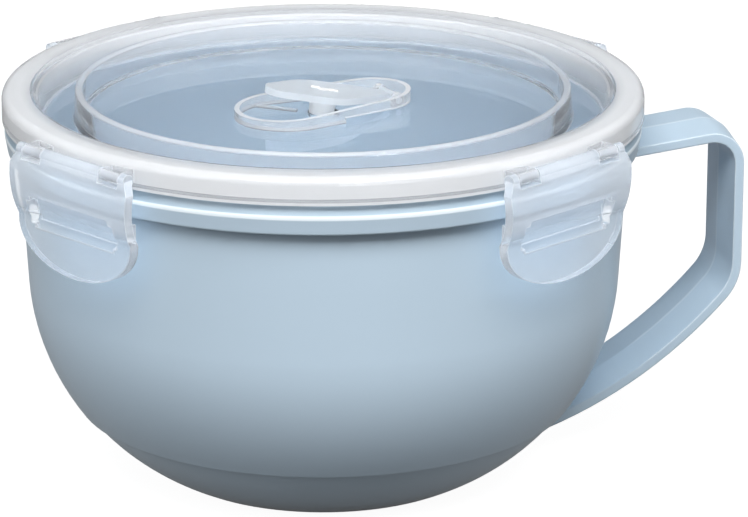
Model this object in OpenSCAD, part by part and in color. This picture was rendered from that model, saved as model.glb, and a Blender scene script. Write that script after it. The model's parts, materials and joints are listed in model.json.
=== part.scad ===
// Soup mug: a deep bowl with a strap handle, closed by a clear lid with four locking clips and a steam vent.
// The origin is the middle of the base, +Z is up and the handle points along +X.

/* [Bowl] */
// Outer radius of the bowl wall at the rim
bowl_r = 71.8; // [60:0.1:85]
// Height of the bowl's top edge above the table
bowl_h = 88.6; // [78:0.1:110]
// Thickness of the bowl wall
bowl_wall = 2.3; // [1.6:0.1:3.2]
// Lean of the upper wall, in degrees
bowl_draft = 3.2; // [1:0.1:5]
// Radius of the round lower body, seen from the side
belly_r = 56.4; // [52:0.1:60]
// Radius of the base
base_r = 38.2; // [30:0.1:42]
// Height of the shadow line between body and foot
crease_h = 16.8; // [8:0.1:24]
// Depth of the step at the shadow line
crease_step = 0.7; // [0.3:0.05:1.2]
// Width of the ring that the bowl stands on
foot_ring_w = 4; // [2:0.1:8]
// Width of the moulded groove inside that ring
foot_groove_w = 5; // [2:0.1:10]
// Depth of that groove
foot_groove_d = 0.8; // [0.3:0.1:1.5]
// Thickness of the floor
floor_t = 2.4; // [1.6:0.1:4]

/* [Rim band] */
// Height of the bowl's edge above the band
rim_stand = 2.5; // [1.5:0.1:3]
// Height of the band
band_h = 6.7; // [4:0.1:9]
// Reach of the band's ridge beyond the wall
band_reach = 3; // [1.5:0.1:3.5]
// Height of the ridge above the band's lower edge
band_ridge_h = 3.6; // [2:0.1:4]
// Height of the ridge itself
band_ridge_t = 0.7; // [0.3:0.1:1.5]
// Draw-in of the band's lower edge
band_low_in = 0.6; // [0.2:0.1:1]
// Draw-in of the band's upper edge
band_top_in = 1.3; // [0.5:0.1:1.6]

/* [Handle] */
// Distance from the bowl's axis to the outside of the handle
handle_reach = 100; // [90:0.1:120]
// Width of the strap
strap_w = 23; // [16:0.5:32]
// Thickness of the strap at its edges
strap_t = 2.2; // [1.5:0.1:4]
// Height of the ridge along the middle of each strap face
strap_ridge = 0.8; // [0.2:0.1:1.5]
// Depth of the strap's upper end below the rim band
strap_drop = 4.8; // [3:0.1:8]
// Rise of the upper strap, in degrees
strap_rise = 7.2; // [0:0.1:12]
// Radius of the upper corner
corner_r = 6.6; // [4:0.1:10]
// Height of the upright stretch's lower end above the table
upright_low = 46; // [40:0.5:52]
// Radius of the bend under the upright stretch
knee_r = 13; // [8:0.5:20]
// Turn of that bend, in degrees
knee_turn = 42; // [36:1:48]
// Height at which the strap's lower end meets the foot of the bowl
strap_foot_h = 5.4; // [4.5:0.1:12]

/* [Lid] */
// Turn of the lid on the bowl, seen from above, in degrees
lid_turn = -12.3; // [-20:0.1:20]
// Reach of the lid's edge beyond the ridge of the rim band
lid_reach = 0.5; // [0.2:0.1:2]
// Thickness of the lid's outer skirt
skirt_t = 1.3; // [1:0.1:1.8]
// Thickness of the rim over the seal
rim_t = 1.8; // [1:0.1:2.5]
// Radius of the rim's outer edge
rim_round = 1.9; // [1:0.1:2.5]
// Thickness of the wall between seal and trough, at the top
shoulder_t = 2.3; // [1.5:0.1:3]
// Lean of that wall towards the trough
shoulder_lean = 1.1; // [0.3:0.1:2]
// Height of its rounded inner edge
shoulder_edge = 1.2; // [0.5:0.1:2]
// Depth of the lid's panel below the rim
panel_drop = 6.7; // [5:0.1:8]
// Thickness of the panel
panel_t = 1.6; // [1.2:0.1:2.5]
// Radius of the raised ring
ring_r = 57.2; // [45:0.1:60]
// Width of the raised ring at its top
ring_top_w = 1.8; // [1:0.1:3]
// Width of the raised ring at its foot
ring_foot_w = 3; // [2:0.1:5]
// Height of the raised ring above the rim
ring_over = 0.4; // [0:0.1:2]
// Running gap between lid and bowl
lid_gap = 0.3; // [0.2:0.05:0.6]

/* [Seal ring] */
// Thickness of the seal over the bowl's edge
seal_t = 2; // [1.2:0.1:3]
// Thickness of the seal's outer leg
seal_leg_t = 1.1; // [0.7:0.1:1.3]
// Length of that leg below the seal
seal_leg_h = 1.4; // [0.5:0.1:1.8]
// Room between the seal and its channel
seal_gap = 0.1; // [0.05:0.05:0.2]

/* [Clips] */
// Width of a clip at its hinge
clip_w = 39.4; // [34:0.2:44]
// Narrowing of each side down to the finger tab
tab_in = 0.8; // [0:0.1:2]
// Thickness of the clip
clip_t = 2.2; // [1.5:0.1:2.4]
// Radius of the clip's bow over the rim band
bow_r = 19.5; // [16:0.1:26]
// Reach of the bow beyond the hinge rod
bow_out = 2.5; // [2:0.1:3]
// Depth of the bow's middle below the rod
bow_drop = 6.6; // [6:0.1:8]
// Depth of the round end's centre below the rod
tab_drop = 16.1; // [14:0.1:18]
// Depth of the clip's lower end below the rod
clip_drop = 26.8; // [24:0.1:29]
// Height of the straight finger tab at the lower end
tab_h = 11.6; // [10:0.1:12]
// Flare of the finger tab away from the bowl, in degrees
tab_flare = 2; // [0:0.5:8]
// Bevel of the clip's upper corners
clip_corner = 1.5; // [0.5:0.1:2]
// Width of the window
window_w = 26.4; // [18:0.2:28]
// Depth of the window's upper edge below the rod
window_drop = 10.9; // [10:0.1:12]
// Height of the window
window_h = 5.8; // [4:0.1:6.5]
// Lean of the window's frame, in degrees
window_lean = 17; // [12:0.5:20]
// Width of the bevel round the window
window_bevel = 1.4; // [0.5:0.1:1.6]
// Width of the catch
catch_w = 36; // [28:0.5:37]
// Height of the catch's upright lip
catch_h = 3.4; // [2:0.1:4]
// Thickness of the catch
catch_t = 1.3; // [1:0.1:1.8]
// Room between the catch and the rim band
catch_gap = 0.35; // [0.3:0.05:0.6]

/* [Clip hinges] */
// Reach of the hinge rod beyond the lid's edge
rod_out = 2; // [1.8:0.05:2.5]
// Depth of the rod below the lid's rim
rod_drop = 3.2; // [2.8:0.1:3.6]
// Radius of the rod
rod_r = 0.8; // [0.6:0.05:0.9]
// Radius of the round hinge lugs and of the clip's rolled edge
knuckle_r = 1.5; // [1.3:0.05:1.6]
// Width of each lug on the lid
lug_w = 6; // [4:0.1:8]
// Distance of each lug from the middle of the clip
lug_at = 13; // [10:0.1:14]
// Room between the lugs and the clip
lug_gap = 0.3; // [0.2:0.05:0.5]
// Running clearance of a rod in its bore
bore_gap = 0.08; // [0.02:0.01:0.1]

/* [Steam vent] */
// Turn of the vent across the lid, in degrees
vent_turn = 29; // [0:1:60]
// Radius of the boss's wide end
boss_wide_r = 12.3; // [11.5:0.1:15]
// Radius of the boss's narrow end
boss_narrow_r = 10; // [8:0.1:11]
// Distance of the wide end's centre from the vent hole
boss_wide_at = 9.7; // [8:0.1:14]
// Distance of the narrow end's centre from the vent hole
boss_narrow_at = 12.1; // [11.5:0.1:16]
// Thickness of the boss's wall
boss_t = 1.2; // [0.8:0.1:1.4]
// Height of the boss's wall at its middle
boss_h = 3.1; // [2.6:0.1:4]
// Rise of the boss's edge towards its narrow end, in degrees
boss_tilt = 2.5; // [0:0.1:4]
// Gap under the free half of the boss's wall
boss_lift = 1.2; // [0.5:0.1:1.5]
// Distance from the vent hole's middle to the line of the boss's rib
rib_at = 3.2; // [2:0.1:5]
// Turn of that rib, in degrees
rib_turn = 128; // [110:1:150]
// Height of that rib above the panel
rib_h = 0.5; // [0.2:0.05:0.5]
// Radius of the vent hole
vent_hole_r = 3.7; // [3.4:0.1:5]
// Distance of the flap's hinge from the vent hole
flap_hinge_at = 17.5; // [15:0.1:19]
// Height of the flap's hinge above the panel
flap_hinge_h = 1.6; // [1.5:0.1:2]
// Distance from the hinge to the widest part of the flap
flap_wide_at = 18; // [15:0.1:20]
// Half width of the flap there
flap_r = 9.4; // [8:0.1:9.6]
// Distance from the hinge to the middle of the flap's nose
flap_nose_at = 27.5; // [26:0.1:29]
// Radius of the flap's nose
flap_nose_r = 5.2; // [4:0.1:6.5]
// Half width of the flap at its hinge
flap_hinge_w = 1.9; // [1.5:0.1:2.1]
// Thickness of the flap
flap_t = 1.6; // [1.2:0.1:2]
// Angle at which the flap stands open, in degrees
flap_open = 9.8; // [5:0.1:20]
// Radius of the flap's hinge barrel
barrel_r = 1.3; // [1:0.05:1.4]
// Length of the flap's hinge barrel
barrel_w = 6.6; // [5:0.1:7]
// Radius of the flap's hinge pins
pin_r = 0.8; // [0.6:0.05:0.9]
// Thickness of each hinge ear
ear_t = 1.5; // [1:0.1:2]
// Upper radius of the plug
plug_top_r = 3.3; // [2.9:0.1:3.4]
// Lower radius of the plug
plug_low_r = 2.9; // [2:0.1:3]
// Length of the plug below the flap
plug_h = 4.3; // [3:0.1:4.5]
// Radius of the plug's stem in the flap
stem_r = 1.6; // [1:0.1:2]
// Length of each of the plug's two upper beads
bead_l = 2.2; // [1.2:0.1:3]
// Width of each bead
bead_w = 0.9; // [0.6:0.1:1.2]
// Height of each bead
bead_h = 0.4; // [0.2:0.1:0.8]
// Turn of the pair of beads, in degrees
bead_turn = -40; // [-90:1:90]

/* [Hidden] */
$fn = 96;

// One overrun serves every cut.
over = 1;
// Number of clips round the lid and steps in each round outline
clip_count = 4;
outline_steps = 16;

// Heights, from the bowl's edge
band_top = bowl_h - rim_stand;
band_low = band_top - band_h;
seal_low = bowl_h + lid_gap;
seal_top = seal_low + seal_t;
channel_top = seal_top + seal_gap;
lid_top = channel_top + rim_t;
skirt_low = band_top + lid_gap;
panel_top = lid_top - panel_drop;
panel_low = panel_top - panel_t;
floor_top = foot_groove_d + floor_t;

// The belly is an arc that runs into the leaning wall and lands on the edge of the base.
lean = tan(bowl_draft);
foot_arc_r = belly_r - crease_step;
wall_foot = bowl_r - (band_low + belly_r * sin(bowl_draft)) * lean - belly_r * cos(bowl_draft);
base_out = base_r - wall_foot;
belly_root = sqrt(pow(lean * base_out, 2) - (1 + lean * lean) * (base_out * base_out - foot_arc_r * foot_arc_r));
belly_z = (lean * base_out + belly_root) / (1 + lean * lean);
belly_x = wall_foot + belly_z * lean;
waist_r = belly_x + belly_r * cos(bowl_draft);
waist_z = belly_z - belly_r * sin(bowl_draft);

// Radii, from the bowl's wall
mouth_r = bowl_r - bowl_wall;
band_r = bowl_r + band_reach;
lid_r = band_r + lid_reach;
skirt_in_r = lid_r - skirt_t;
shoulder_r = mouth_r - lid_gap;

// The strap's middle line leaves the wall, turns a corner, drops and bends at the knee.
strap_x = handle_reach - strap_t / 2;
strap_z = band_low - strap_drop - bowl_wall * tan(strap_rise);
corner_turn = 90 + strap_rise;
corner_l = corner_r * tan(corner_turn / 2);
upright_top = strap_z + (strap_x - mouth_r) * tan(strap_rise) - corner_l;
knee_x = strap_x - knee_r * (1 - cos(knee_turn));
knee_z = upright_low - knee_r * sin(knee_turn);
// The last sweep leaves the knee smoothly and ends inside the wall of the foot.
foot_x = belly_x + sqrt(pow(foot_arc_r, 2) - pow(belly_z - strap_foot_h, 2)) - bowl_wall;
sweep_half = atan2(knee_x - foot_x, knee_z - strap_foot_h) - knee_turn;
sweep_r = norm([knee_x - foot_x, knee_z - strap_foot_h]) / (2 * sin(sweep_half));

// Hinge rod of a clip and the catch under the rim band
rod_at = lid_r + rod_out;
rod_z = lid_top - rod_drop;
catch_r = band_r + catch_gap;
catch_top = band_low - lid_gap;

// Outer and inner face of a clip where its bow ends in the finger tab, from the rod
bow_x = bow_out - bow_r;
tab_z = tab_h - clip_drop;
tab_face = bow_x + sqrt(pow(bow_r, 2) - pow(tab_z + bow_drop, 2));
tab_back = bow_x + sqrt(pow(bow_r - clip_t, 2) - pow(tab_z + bow_drop, 2));
tab_slant = (tab_h + over) * tan(tab_flare);
window_z = -window_drop - window_h / 2;
window_face = bow_x + sqrt(pow(bow_r, 2) - pow(window_z + bow_drop, 2));

// Flap hinge
flap_hinge_z = panel_top + flap_hinge_h;
ear_in = barrel_w / 2 + lug_gap;
pin_l = ear_in + ear_t;
ear_r = barrel_r + lug_gap;

// Flat shape bounded by two half planes: everything from height low to height high, to the right of the axis
module slice(low, high, reach) {
    translate([0, low])
        square([reach, high - low]);
}

// Half section of the filled bowl below the rim
module bowl_body_section() {
    intersection() {
        translate([belly_x, belly_z])
            circle(r = foot_arc_r);
        slice(0, crease_h, lid_r);
    }
    intersection() {
        translate([belly_x, belly_z])
            circle(r = belly_r);
        slice(crease_h, waist_z, lid_r);
    }
    polygon([
        [0, waist_z], [waist_r, waist_z], [bowl_r, band_low],
        [bowl_r, bowl_h], [0, bowl_h]
    ]);
}

module band_section() {
    low_r = band_r - band_low_in;
    ridge_z = band_low + band_ridge_h;
    polygon([
        [mouth_r, band_low], [low_r, band_low], [band_r, ridge_z],
        [band_r, ridge_z + band_ridge_t], [band_r - band_top_in, band_top], [mouth_r, band_top]
    ]);
}

module bowl_inside_section() {
    intersection() {
        translate([belly_x, belly_z])
            circle(r = belly_r - bowl_wall);
        slice(floor_top, waist_z, lid_r);
    }
    polygon([
        [0, waist_z], [waist_r - bowl_wall, waist_z], [mouth_r, band_low],
        [mouth_r, bowl_h + over], [0, bowl_h + over]
    ]);
}

module bowl() {
    color("#b6c9d7")
        rotate_extrude()
            difference() {
                union() {
                    bowl_body_section();
                    band_section();
                }
                bowl_inside_section();
                translate([base_r - foot_ring_w - foot_groove_w, -over])
                    square([foot_groove_w, foot_groove_d + over]);
            }
}

// Stations along an arc of the strap's middle line: a point and the angle of the strap's outer side
function strap_arc(centre, radius, from, turn) = [
    for (i = [0 : outline_steps])
        let (a = from - turn * i / outline_steps)
        [centre + radius * [cos(a), sin(a)], a]
];

function strap_ring(station, section) = [
    for (c = section)
        let (p = station[0], a = station[1])
        [p[0] + c[0] * cos(a), c[1], p[1] + c[0] * sin(a)]
];

// The strap, with flat edges and a low ridge along the middle of both faces, swept from the rim to the foot
module strap() {
    half_w = strap_w / 2;
    half_t = strap_t / 2;
    peak = half_t + strap_ridge;
    section = [
        [half_t, -half_w], [peak, 0], [half_t, half_w],
        [-half_t, half_w], [-peak, 0], [-half_t, -half_w]
    ];
    sides = len(section);
    path = concat(
        [[[mouth_r, strap_z], corner_turn]],
        strap_arc([strap_x - corner_r, upright_top], corner_r, corner_turn, corner_turn),
        strap_arc([strap_x - knee_r, upright_low], knee_r, 0, knee_turn),
        strap_arc([knee_x, knee_z] - sweep_r * [cos(knee_turn), -sin(knee_turn)], sweep_r, -knee_turn, 2 * sweep_half)
    );
    // The sweep starts at the last point of the knee, so that point is used once.
    shared = 2 * outline_steps + 2;
    stations = [for (i = [0 : len(path) - 1]) if (i != shared) path[i]];
    last = len(stations) - 1;
    polyhedron(
        points = [for (station = stations) each strap_ring(station, section)],
        faces = concat(
            [[for (k = [0 : sides - 1]) k]],
            [for (i = [0 : last - 1], k = [0 : sides - 1])
                let (n = (k + 1) % sides, at = i * sides)
                [at + k, at + sides + k, at + sides + n, at + n]],
            [[for (k = [0 : sides - 1]) last * sides + sides - 1 - k]]
        )
    );
}

module handle() {
    color("#b6c9d7")
        difference() {
            strap();
            rotate_extrude() {
                bowl_body_section();
                band_section();
            }
        }
}

// Half section of the lid's round body
module lid_section() {
    rim_in = shoulder_r - shoulder_t;
    ring_top = lid_top + ring_over;
    ring_root = panel_top - panel_t / 2;
    half_top = ring_top_w / 2;
    half_foot = ring_foot_w / 2;
    difference() {
        union() {
            polygon([
                [0, panel_low], [shoulder_r, panel_low], [shoulder_r, skirt_low],
                [lid_r, skirt_low], [lid_r, lid_top - rim_round],
                [lid_r - rim_round, lid_top - rim_round], [lid_r - rim_round, lid_top],
                [rim_in + shoulder_edge, lid_top], [rim_in, lid_top - shoulder_edge],
                [rim_in - shoulder_lean, panel_top], [0, panel_top]
            ]);
            polygon([
                [ring_r - half_foot, ring_root], [ring_r + half_foot, ring_root], [ring_r + half_foot, panel_top],
                [ring_r + half_top, ring_top - half_top], [ring_r - half_top, ring_top - half_top],
                [ring_r - half_foot, panel_top]
            ]);
            translate([lid_r - rim_round, lid_top - rim_round])
                intersection() {
                    circle(r = rim_round);
                    square(rim_round);
                }
            translate([ring_r, ring_top - half_top])
                intersection() {
                    circle(r = half_top);
                    translate([-half_top, 0])
                        square([ring_top_w, half_top]);
                }
        }
        translate([shoulder_r, skirt_low - over])
            square([skirt_in_r - shoulder_r, channel_top - skirt_low + over]);
    }
}

// Places its children at one clip: X outwards, Y along the rim, the rod on the Y axis
module at_clip(i) {
    rotate([0, 0, lid_turn + (i + 0.5) * 360 / clip_count])
        translate([rod_at, 0, rod_z])
            children();
}

// A round bar along Y, centred on the rod
module bar(radius, from, to) {
    translate([0, from, 0])
        rotate([-90, 0, 0])
            cylinder(r = radius, h = to - from);
}

// The two lugs of the lid that carry one clip: slabs from the rim to round noses with a bore
module clip_lugs() {
    root = rod_at - lid_r * cos(asin((lug_at + lug_w / 2) / lid_r)) + skirt_t;
    for (side = [-1, 1])
        translate([0, side * lug_at - lug_w / 2, 0])
            difference() {
                union() {
                    bar(knuckle_r, 0, lug_w);
                    translate([-root, 0, -knuckle_r])
                        cube([root, lug_w, 2 * knuckle_r]);
                }
                bar(rod_r + bore_gap, -over, lug_w + over);
            }
}

// Points on an arc about a centre on the X axis
function arc(x, radius, from, to) = [
    for (i = [0 : outline_steps])
        let (a = from + (to - from) * i / outline_steps)
        [x + radius * cos(a), radius * sin(a)]
];

// Angle at which the tangent of two circles on the X axis touches them
function touch(r1, x1, r2, x2) = acos((r1 - r2) / (x2 - x1));

// Outline of two circles joined by their tangents, along X
module egg(r1, x1, r2, x2) {
    t = touch(r1, x1, r2, x2);
    polygon(concat(arc(x1, r1, t, 360 - t), arc(x2, r2, -t, t)));
}

// The vent's own frame: the vent hole on the axis, X towards the flap's hinge
module at_vent() {
    rotate([0, 0, lid_turn + vent_turn])
        children();
}

module vent_boss() {
    reach = boss_wide_at + boss_wide_r + over;
    root = panel_top - panel_t / 2;
    intersection() {
        translate([0, 0, root])
            linear_extrude(height = 2 * boss_h)
                difference() {
                    egg(boss_wide_r, -boss_wide_at, boss_narrow_r, boss_narrow_at);
                    egg(boss_wide_r - boss_t, -boss_wide_at, boss_narrow_r - boss_t, boss_narrow_at);
                }
        translate([0, 0, panel_top + boss_h])
            rotate([0, -boss_tilt, 0])
                translate([-reach, -reach, -2 * boss_h])
                    cube([2 * reach, 2 * reach, 2 * boss_h]);
        union() {
            translate([-reach, -reach, root])
                cube([reach, 2 * reach, 2 * boss_h]);
            translate([-over, -reach, panel_top + boss_lift])
                cube([reach + over, 2 * reach, 2 * boss_h]);
        }
    }
    // The rib runs from beside the vent hole into the wall of the wide end.
    away = boss_wide_at - rib_at;
    rib_end = sqrt(pow(boss_wide_r - boss_t / 2, 2) - pow(away * sin(rib_turn), 2)) - away * cos(rib_turn);
    translate([-rib_at, 0, root])
        rotate([0, 0, rib_turn])
            translate([vent_hole_r, -boss_t / 2, 0])
                cube([rib_end - vent_hole_r, boss_t, panel_t / 2 + rib_h]);
}

module vent_ears() {
    for (side = [-1, 1])
        translate([flap_hinge_at, side * (ear_in + ear_t / 2), flap_hinge_z])
            difference() {
                union() {
                    translate([-ear_r, -ear_t / 2, -flap_hinge_h - panel_t / 2])
                        cube([2 * ear_r, ear_t, flap_hinge_h + panel_t / 2]);
                    bar(ear_r, -ear_t / 2, ear_t / 2);
                }
                bar(pin_r + bore_gap, -ear_t, ear_t);
            }
}

module lid() {
    color("#dfe5ea", 0.5) {
        difference() {
            rotate_extrude()
                lid_section();
            translate([0, 0, panel_low - over])
                cylinder(r = vent_hole_r, h = panel_t + 2 * over);
        }
        for (i = [0 : clip_count - 1])
            at_clip(i)
                difference() {
                    clip_lugs();
                    translate([-rod_at, 0, -rod_z])
                        cylinder(r = lid_r - skirt_t / 2, h = lid_top + over);
                }
        at_vent() {
            vent_boss();
            vent_ears();
        }
    }
}

module seal_ring() {
    in_r = shoulder_r + seal_gap;
    out_r = skirt_in_r - seal_gap;
    color("#f1f1f1")
        rotate_extrude()
            polygon([
                [in_r, seal_low], [out_r - seal_leg_t, seal_low], [out_r - seal_leg_t, seal_low - seal_leg_h],
                [out_r, seal_low - seal_leg_h], [out_r, seal_top], [in_r, seal_top]
            ]);
}

// Front outline of a clip, Y along the rim and the depth below the rod downwards
module clip_outline() {
    half = clip_w / 2;
    tab = half - tab_in;
    round_h = clip_drop - tab_drop;
    low = [for (i = [0 : 2 * outline_steps])
        let (a = 90 * i / outline_steps)
        [tab * cos(a), -tab_drop - round_h * sin(a)]];
    polygon(concat(
        [[half - clip_corner, 0], [half, -2 * clip_corner]],
        low,
        [[-half, -2 * clip_corner], [clip_corner - half, 0]]
    ));
}

// Side section of the clip's plate: a bow over the rim band that ends in a straight finger tab, X outwards
module clip_plate_section() {
    intersection() {
        translate([bow_x, -bow_drop])
            difference() {
                circle(r = bow_r);
                circle(r = bow_r - clip_t);
            }
        translate([bow_x, tab_z])
            square([2 * bow_r, -tab_z]);
    }
    polygon([
        [tab_back, tab_z], [tab_face, tab_z],
        [tab_face + tab_slant, -clip_drop - over], [tab_back + tab_slant, -clip_drop - over]
    ]);
}

// Side section of the catch: a shelf that climbs inwards from the window's lower edge to an upright lip
module catch_section() {
    tip = catch_r - rod_at;
    high = catch_top - rod_z;
    root_z = -window_drop - window_h;
    root_x = tab_face - clip_t / 2;
    shelf_z = high - catch_h;
    polygon([
        [tip, high], [tip, shelf_z], [root_x, root_z - catch_t], [root_x, root_z],
        [tip + catch_t, shelf_z + catch_t], [tip + catch_t, high]
    ]);
}

// A side section drawn out along the rim, the same width to both sides
module from_side(width) {
    translate([0, width / 2, 0])
        rotate([90, 0, 0])
            linear_extrude(height = width)
                children();
}

// The window with its bevelled frame, square to the plate
module window_cut() {
    bevel = sqrt(2) * window_bevel;
    translate([window_face, 0, window_z])
        rotate([0, window_lean, 0]) {
            cube([2 * bow_r, window_w, window_h], center = true);
            for (side = [-1, 1]) {
                translate([0, side * window_w / 2, 0])
                    rotate([0, 0, 45])
                        cube([bevel, bevel, window_h], center = true);
                translate([0, 0, side * window_h / 2])
                    rotate([0, 45, 0])
                        cube([bevel, window_w, bevel], center = true);
            }
        }
}

// The clip's rolled upper edge and its rod, with a notch for each lug
module clip_edge() {
    inner = lug_at - lug_w / 2 - lug_gap;
    outer = lug_at + lug_w / 2 + lug_gap;
    bar(knuckle_r, -inner, inner);
    bar(knuckle_r, outer, clip_w / 2 - clip_corner);
    bar(knuckle_r, clip_corner - clip_w / 2, -outer);
    bar(rod_r, -outer, outer);
}

// The notches that let the lugs through
module lug_notches() {
    depth = knuckle_r + lug_gap;
    for (side = [-1, 1])
        translate([-rod_at / 2, side * lug_at - lug_w / 2 - lug_gap, -depth])
            cube([rod_at, lug_w + 2 * lug_gap, depth + over]);
}

module clip(i) {
    color("#e4e9ee", 0.6)
        at_clip(i) {
            difference() {
                intersection() {
                    from_side(clip_w + 2 * over)
                        clip_plate_section();
                    rotate([90, 0, 90])
                        translate([0, 0, -rod_at / 2])
                            linear_extrude(height = rod_at)
                                clip_outline();
                }
                window_cut();
                lug_notches();
            }
            from_side(catch_w)
                catch_section();
            clip_edge();
        }
}

module clip_1() {
    clip(0);
}

module clip_2() {
    clip(1);
}

module clip_3() {
    clip(2);
}

module clip_4() {
    clip(3);
}

// Places its children on the flap's hinge, turned to where the flap stands
module at_flap() {
    at_vent()
        translate([flap_hinge_at, 0, flap_hinge_z])
            rotate([0, flap_open, 0])
                children();
}

// Outline of the flap: a nose, a wide middle and a narrow end at the hinge
module flap_outline() {
    nose = touch(flap_nose_r, -flap_nose_at, flap_r, -flap_wide_at);
    tail = touch(flap_r, -flap_wide_at, flap_hinge_w, 0);
    intersection() {
        polygon(concat(
            arc(-flap_nose_at, flap_nose_r, nose, 360 - nose),
            arc(-flap_wide_at, flap_r, -nose, -tail),
            arc(0, flap_hinge_w, -tail, tail),
            arc(-flap_wide_at, flap_r, tail, nose)
        ));
        translate([-flap_nose_at - flap_nose_r, -flap_r])
            square([flap_nose_at + flap_nose_r, 2 * flap_r]);
    }
}

module vent_flap() {
    color("#eef0f2", 0.8)
        at_flap()
            difference() {
                union() {
                    translate([0, 0, -flap_t / 2])
                        linear_extrude(height = flap_t)
                            flap_outline();
                    bar(barrel_r, -barrel_w / 2, barrel_w / 2);
                    bar(pin_r, -pin_l, pin_l);
                }
                translate([-flap_hinge_at, 0, -flap_t])
                    cylinder(r = stem_r + seal_gap, h = 2 * flap_t);
            }
}

module vent_plug() {
    color("#f4f4f2")
        at_flap()
            translate([-flap_hinge_at, 0, 0]) {
                translate([0, 0, -flap_t / 2 - plug_h])
                    cylinder(r1 = plug_low_r, r2 = plug_top_r, h = plug_h);
                translate([0, 0, -flap_t / 2])
                    cylinder(r = stem_r, h = flap_t);
                rotate([0, 0, bead_turn])
                    for (side = [-1, 1])
                        translate([side * bead_l - bead_l / 2, -bead_w / 2, flap_t / 2])
                            cube([bead_l, bead_w, bead_h]);
            }
}

bowl();
handle();
lid();
seal_ring();
clip_1();
clip_2();
clip_3();
clip_4();
vent_flap();
vent_plug();
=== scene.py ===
"""Soup mug in pale blue plastic with a clear clip-down lid, seen from the front and a little above.

Lengths are in metres, in the frame of the CAD model: the mug stands on z = 0 and its handle points along +X.
"""

import json
import math

import bpy
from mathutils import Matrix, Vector


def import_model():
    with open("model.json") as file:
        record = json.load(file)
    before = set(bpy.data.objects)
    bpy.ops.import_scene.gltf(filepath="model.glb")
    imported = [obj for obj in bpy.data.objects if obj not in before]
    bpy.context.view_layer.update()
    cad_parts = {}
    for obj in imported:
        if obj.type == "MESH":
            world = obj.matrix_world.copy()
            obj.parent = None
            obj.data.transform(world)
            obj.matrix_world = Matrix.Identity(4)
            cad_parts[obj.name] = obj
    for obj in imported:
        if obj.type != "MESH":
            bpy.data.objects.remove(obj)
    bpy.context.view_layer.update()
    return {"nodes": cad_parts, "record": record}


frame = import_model()
nodes = frame["nodes"]
scene = bpy.context.scene
scene.view_settings.view_transform = "Standard"


def linear(r, g, b):
    """A colour written as 0 to 255 display values, as Blender's linear colour."""
    def one(v):
        v /= 255
        return v / 12.92 if v <= 0.04045 else ((v + 0.055) / 1.055) ** 2.4
    return (one(r), one(g), one(b), 1.0)


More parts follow.
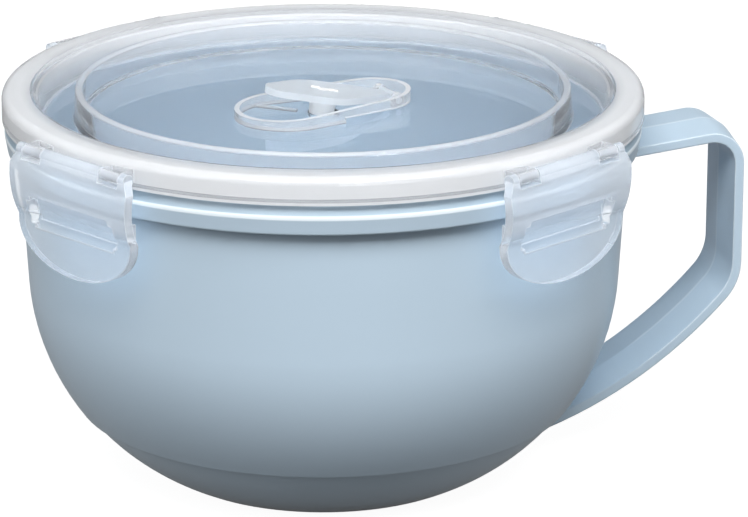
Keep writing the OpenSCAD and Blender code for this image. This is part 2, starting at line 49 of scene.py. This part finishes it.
class Tree:
    """Short words for building the nodes of a material, or of the world."""

    def __init__(self, name, world=None):
        self.mat = world or bpy.data.materials.new(name)
        self.mat.use_nodes = True
        self.t = self.mat.node_tree
        self.t.nodes.clear()
        self.out = self.t.nodes.new("ShaderNodeOutputWorld" if world else "ShaderNodeOutputMaterial")

    def new(self, kind, **sockets):
        """A node with plain values on the named sockets, where _ stands for a space."""
        n = self.t.nodes.new(kind)
        for name, value in sockets.items():
            n.inputs[name.replace("_", " ")].default_value = value
        return n

    def put(self, value, socket):
        """Links another node's output to the socket, or sets a plain value on it."""
        if isinstance(value, bpy.types.NodeSocket):
            self.t.links.new(value, socket)
        else:
            socket.default_value = value

    def math(self, how, *values):
        n = self.t.nodes.new("ShaderNodeMath")
        n.operation = how
        for i, v in enumerate(values):
            self.put(v, n.inputs[i])
        return n.outputs[0]

    def times(self, a, b):
        return self.math("MULTIPLY", a, b)

    def most(self, a, b):
        return self.math("MAXIMUM", a, b)

    def ramp(self, value, low, high, a, b):
        """Goes from a to b while the value goes from low to high."""
        n = self.new("ShaderNodeMapRange", From_Min=low, From_Max=high, To_Min=a, To_Max=b)
        self.put(value, n.inputs["Value"])
        return n.outputs["Result"]

    def zone(self, value, a, b, c, d):
        """1 between b and c, falling to 0 at a and d."""
        return self.times(self.ramp(value, a, b, 0.0, 1.0), self.ramp(value, c, d, 1.0, 0.0))

    def part(self, name, axis):
        """One coordinate of the object-space position or normal."""
        where = self.t.nodes.new("ShaderNodeTexCoord")
        split = self.t.nodes.new("ShaderNodeSeparateXYZ")
        self.put(where.outputs[name], split.inputs[0])
        return split.outputs[axis]

    def noise(self, scale, detail=3.0):
        where = self.t.nodes.new("ShaderNodeTexCoord")
        n = self.new("ShaderNodeTexNoise", Scale=scale, Detail=detail)
        self.put(where.outputs["Object"], n.inputs["Vector"])
        return n.outputs["Fac"]

    def mottle(self, scale, low, high):
        """A number that wanders between low and high, with the middle of the noise stretched over that range."""
        return self.ramp(self.noise(scale), 0.3, 0.7, low, high)

    def two_tone(self, share, a, b):
        n = self.t.nodes.new("ShaderNodeMix")
        n.data_type = "RGBA"
        for value, socket in ((share, 0), (a, 6), (b, 7)):
            self.put(value, n.inputs[socket])
        return n.outputs[2]

    def rounded(self, radius):
        """The surface's normal with its moulded edges rounded."""
        n = self.new("ShaderNodeBevel", Radius=radius)
        n.samples = 4
        return n.outputs["Normal"]

    def edges(self, normal, low, high):
        """1 along the moulded edges, where the rounded normal leaves the face's own, and 0 on the faces."""
        face = self.t.nodes.new("ShaderNodeNewGeometry")
        dot = self.t.nodes.new("ShaderNodeVectorMath")
        dot.operation = "DOT_PRODUCT"
        self.put(normal, dot.inputs[0])
        self.put(face.outputs["Normal"], dot.inputs[1])
        return self.ramp(dot.outputs["Value"], low, high, 1.0, 0.0)

    def body(self, tone, rough, grain, normal=None, **sockets):
        """A Principled shader with a mottled colour (scale, a, b), a mottled roughness (scale, low, high) and a
        fine moulded grain (scale, strength, depth), on the rounded normal where one is given."""
        tone_scale, one_colour, other_colour = tone
        grain_scale, strength, depth = grain
        p = self.new("ShaderNodeBsdfPrincipled", **sockets)
        colour = self.two_tone(self.noise(tone_scale, detail=1.0), one_colour, other_colour)
        self.put(colour, p.inputs["Base Color"])
        self.put(self.mottle(*rough), p.inputs["Roughness"])
        bump = self.new("ShaderNodeBump", Strength=strength, Distance=depth)
        self.put(self.noise(grain_scale, detail=2.0), bump.inputs["Height"])
        if normal is not None:
            self.put(normal, bump.inputs["Normal"])
        self.put(bump.outputs["Normal"], p.inputs["Normal"])
        return p

    def mix(self, share, a, b):
        n = self.t.nodes.new("ShaderNodeMixShader")
        self.put(share, n.inputs[0])
        self.put(a.outputs[0], n.inputs[1])
        self.put(b.outputs[0], n.inputs[2])
        return n

    def milk(self, colour, rough, backlit=0.25):
        """The cloudy part of a translucent plastic, lit from both sides: backlit is the share from behind."""
        front = self.new("ShaderNodeBsdfPrincipled", Base_Color=colour, Roughness=rough)
        back = self.new("ShaderNodeBsdfTranslucent", Color=colour)
        return self.mix(backlit, front, back)

    def solid(self, shader):
        self.put(shader.outputs[0], self.out.inputs["Surface"])
        return self.mat

    def clear(self, shader, passed):
        """Lets lamps shine through the shader, in the passed colour."""
        path = self.t.nodes.new("ShaderNodeLightPath")
        hole = self.t.nodes.new("ShaderNodeBsdfTransparent")
        self.put(passed, hole.inputs["Color"])
        return self.solid(self.mix(path.outputs["Is Shadow Ray"], shader, hole))

    def seen(self, glossy):
        """1 for rays that meet the white background: the camera's own, and those that go on through clear plastic,
        weaker after a reflection. Reflections alone meet the given share of it."""
        path = self.t.nodes.new("ShaderNodeLightPath").outputs
        through = self.math("MINIMUM", path["Transmission Depth"], 1.0)
        through = self.times(through, self.math("LESS_THAN", path["Diffuse Depth"], 0.5))
        through = self.times(through, self.ramp(path["Glossy Depth"], 0.0, 1.0, 1.0, 0.4))
        through = self.most(through, path["Is Camera Ray"])
        return self.most(through, self.times(path["Is Glossy Ray"], glossy))


# How far the moulded edges are rounded.
EDGE = 0.0006
SEAL_EDGE = 0.0003


def bowl_plastic():
    t = Tree("bowl_plastic")
    normal = t.rounded(EDGE)
    p = t.body(tone=(9, linear(182, 201, 216), linear(184, 203, 218)), rough=(14, 0.274, 0.278),
               grain=(1800, 0.02, 0.0003), normal=normal, IOR=1.46, Specular_IOR_Level=0.3)
    x, y, z = (t.part("Object", i) for i in range(3))
    handle_from, handle_full = 0.074, 0.078
    # Painted highlights: the ridge round the rim band and the edges and crest of the handle are painted paler, where
    # they catch the lamps.
    crest_highlight = t.times(t.zone(y, -0.0007, -0.0002, 0.0002, 0.0007), 0.35)
    edge_highlight = t.most(t.edges(normal, 0.8, 0.99), crest_highlight)
    edge_highlight = t.times(t.ramp(x, handle_from, handle_full, 0.0, 1.0), edge_highlight)
    ridge_highlight = t.zone(z, 0.0827, 0.083, 0.0837, 0.084)
    painted_highlight = t.most(ridge_highlight, edge_highlight)
    # Painted shade: the slope above that ridge is painted a little darker, for the shadow of the lid's skirt above
    # it.
    slope_shade = t.zone(z, 0.0836, 0.084, 0.0862, 0.0865)
    slope_shade = t.times(slope_shade, t.ramp(x, handle_from, handle_full, 1.0, 0.0))
    colour = p.inputs["Base Color"].links[0].from_socket
    # The painted shade on the slope goes into the base colour, then the painted highlights on the ridge and the
    # handle's edges and crest.
    colour = t.two_tone(slope_shade, colour, linear(153, 172, 186))
    colour = t.two_tone(painted_highlight, colour, linear(232, 242, 249))
    t.put(colour, p.inputs["Base Color"])
    return t.solid(p)


def lid_plastic():
    t = Tree("lid_plastic")
    glassy = t.body(tone=(25, linear(246, 249, 252), linear(250, 252, 254)), rough=(70, 0.02, 0.05),
                    grain=(260, 0.02, 0.0004), IOR=1.14, Coat_Weight=0.3, Coat_Roughness=0.04,
                    Transmission_Weight=1.0)
    x, y, z = (t.part("Object", i) for i in range(3))
    away = t.math("SQRT", t.math("ADD", t.times(x, x), t.times(y, y)))
    # Zones of the lid, by the distance from its axis, by height and by the way the surface faces.
    rim = t.zone(away, 0.0645, 0.0665, 0.0755, 0.0758)
    lugs = t.ramp(away, 0.0756, 0.0759, 0.0, 1.0)
    ring_crest = t.times(t.zone(away, 0.045, 0.05, 0.062, 0.064), t.ramp(z, 0.0918, 0.0928, 0.0, 1.0))
    ring_wall = t.times(t.zone(away, 0.0545, 0.0555, 0.0592, 0.06), t.ramp(z, 0.0868, 0.0875, 0.0, 1.0))
    middle = t.ramp(away, 0.045, 0.05, 1.0, 0.0)
    boss = t.times(middle, t.ramp(z, 0.0863, 0.087, 0.0, 1.0))
    boss_top = t.times(boss, t.ramp(t.part("Normal", 2), 0.8, 0.95, 0.0, 1.0))
    rib = t.times(middle, t.zone(z, 0.08615, 0.0863, 0.0867, 0.0869))
    # Painted highlights: the moulded edges are turned milky white, to stand for the bright lines that clear plastic
    # edges catch.
    edge_highlight = t.edges(t.rounded(EDGE), 0.8, 0.97)
    # Two clear lines run round the rim: one beside its inner edge, and one just above the skirt's lower lip.
    inner_line = t.zone(away, 0.0672, 0.0676, 0.0683, 0.0688)
    lip_line = t.times(t.zone(z, 0.0870, 0.0873, 0.0877, 0.088), t.ramp(away, 0.074, 0.0745, 0.0, 1.0))
    lines = t.ramp(t.most(inner_line, lip_line), 0.0, 1.0, 1.0, 0.25)
    # The rim is the cloudiest, and the panel is nearly clear. The milky white along the edges is painted highlight.
    cloud_and_edge_highlight = t.times(t.times(rim, t.ramp(away, 0.0675, 0.071, 0.42, 0.62)), lines)
    for zone, share in ((lugs, 0.3), (ring_crest, 0.5), (ring_wall, 0.12), (boss, 0.2), (boss_top, 0.75),
                        (rib, 0.5), (edge_highlight, 0.45)):
        cloud_and_edge_highlight = t.most(cloud_and_edge_highlight, t.times(zone, share))
    cloud_and_edge_highlight = t.most(cloud_and_edge_highlight, 0.05)
    shader = t.mix(cloud_and_edge_highlight, glassy, t.milk(linear(234, 235, 237), 0.1))
    return t.clear(shader, t.two_tone(rim, (0.225, 0.255, 0.285, 1), (0.3, 0.31, 0.32, 1)))


def clip_plastic():
    t = Tree("clip_plastic")
    glassy = t.body(tone=(40, linear(240, 245, 249), linear(246, 249, 252)), rough=(90, 0.05, 0.09),
                    grain=(420, 0.05, 0.0004), IOR=1.2, Transmission_Weight=1.0)
    # Above its window the clip is cloudier than on its tab. It is cloudiest along its edges, where the milky white
    # is painted highlight.
    height = t.ramp(t.part("Object", 2), 0.0745, 0.0785, 0.24, 0.42)
    cloud_and_edge_highlight = t.math("ADD", height, t.mottle(60, 0.0, 0.05))
    cloud_and_edge_highlight = t.most(cloud_and_edge_highlight, t.times(t.edges(t.rounded(EDGE), 0.8, 0.97), 0.7))
    shader = t.mix(cloud_and_edge_highlight, glassy, t.milk(linear(215, 220, 226), 0.15))
    return t.clear(shader, (0.8, 0.83, 0.86, 1))


def vent_plastic():
    t = Tree("vent_plastic")
    glassy = t.body(tone=(60, linear(236, 240, 244), linear(244, 247, 249)), rough=(90, 0.3, 0.4),
                    grain=(600, 0.05, 0.0003), IOR=1.2, Transmission_Weight=1.0)
    shader = t.mix(t.mottle(90, 0.5, 0.6), glassy, t.milk(linear(216, 221, 226), 0.45))
    return t.clear(shader, (0.6, 0.63, 0.66, 1))


def seal_rubber():
    t = Tree("seal_rubber")
    return t.solid(t.body(tone=(80, linear(228, 229, 230), linear(234, 234, 234)), rough=(120, 0.5, 0.62),
                          grain=(2200, 0.06, 0.0003), normal=t.rounded(SEAL_EDGE), IOR=1.43))


LOOKS = {make.__name__: make() for make in (bowl_plastic, lid_plastic, clip_plastic, vent_plastic, seal_rubber)}

for sub in frame["record"]["subparts"]:
    slots = nodes[sub["node"]].data.materials
    slots.clear()
    slots.append(LOOKS[sub["material_slot"]])


# The studio: a pale floor and a dim world, both white to the camera, and soft boxes round the mug.
def floor():
    bpy.ops.mesh.primitive_plane_add(size=6, location=(0, 0, 0))
    obj = bpy.context.object
    obj.name = "floor"
    t = Tree("pale_floor")
    matt = t.new("ShaderNodeBsdfDiffuse", Color=(0.13, 0.13, 0.13, 1))
    glow = t.new("ShaderNodeEmission", Color=(1, 1, 1, 1), Strength=0.95)
    both = t.t.nodes.new("ShaderNodeAddShader")
    t.put(matt.outputs[0], both.inputs[0])
    t.put(glow.outputs[0], both.inputs[1])
    t.solid(t.mix(t.seen(0.2), matt, both))
    obj.data.materials.append(t.mat)


def world():
    scene.world = bpy.data.worlds.new("studio")
    t = Tree("studio", scene.world)
    soft = t.new("ShaderNodeBackground", Color=(0.95, 0.98, 1.0, 1), Strength=0.05)
    white = t.new("ShaderNodeBackground", Color=(1, 1, 1, 1), Strength=1.0)
    t.solid(t.mix(t.seen(0.0), soft, white))


def face(obj, direction):
    """Turns a lamp or the camera along the direction, with its top up."""
    obj.rotation_euler = Vector(direction).to_track_quat("-Z", "Y").to_euler()


AIM = Vector((0, 0, 0.05))


def softbox(name, place, size, watts, gloss=True):
    """A soft lamp aimed at the mug. One without gloss lights only matt colour, and makes no glare on the lid."""
    data = bpy.data.lights.new(name, "AREA")
    data.shape = "RECTANGLE"
    data.size, data.size_y = size
    data.energy = watts
    obj = bpy.data.objects.new(name, data)
    obj.location = place
    face(obj, AIM - Vector(place))
    obj.visible_glossy = obj.visible_transmission = gloss
    scene.collection.objects.link(obj)


floor()
world()
softbox("box_front", (-0.05, -0.835, 1.2), (1.5, 0.68), 32.5)
softbox("box_left", (-1.1, -0.6, 0.7), (0.6, 0.6), 5.3)
softbox("box_right", (1.15, -0.6, 0.6), (0.7, 0.7), 4)
softbox("box_top", (0, 0.2, 1.3), (1.2, 0.8), 0.5)
softbox("box_back", (0.6, 1.1, 0.2), (0.7, 0.3), 8, gloss=False)
softbox("box_back_left", (-1.0, 0.8, 0.2), (0.5, 0.3), 3.5, gloss=False)

# The photograph's camera: 12 degrees round from the handle's side view and 18 degrees above the table. Its focal
# length and shift are in pixels of the photograph.
IMAGE_WIDTH = 748
FOCAL = 4206
SHIFT = (5.2, -2)
SENSOR = 36
TURN, TILT = math.radians(12), math.radians(18.18)

camera = bpy.data.cameras.new("camera")
camera.sensor_width = SENSOR
camera.lens = SENSOR * FOCAL / IMAGE_WIDTH
camera.shift_x, camera.shift_y = (v / IMAGE_WIDTH for v in SHIFT)
camera.clip_start, camera.clip_end = 0.05, 20
eye = bpy.data.objects.new("camera", camera)
eye.location = (-0.18708, -0.93156, 0.3622)
face(eye, (math.sin(TURN) * math.cos(TILT), math.cos(TURN) * math.cos(TILT), -math.sin(TILT)))
scene.collection.objects.link(eye)
scene.camera = eye
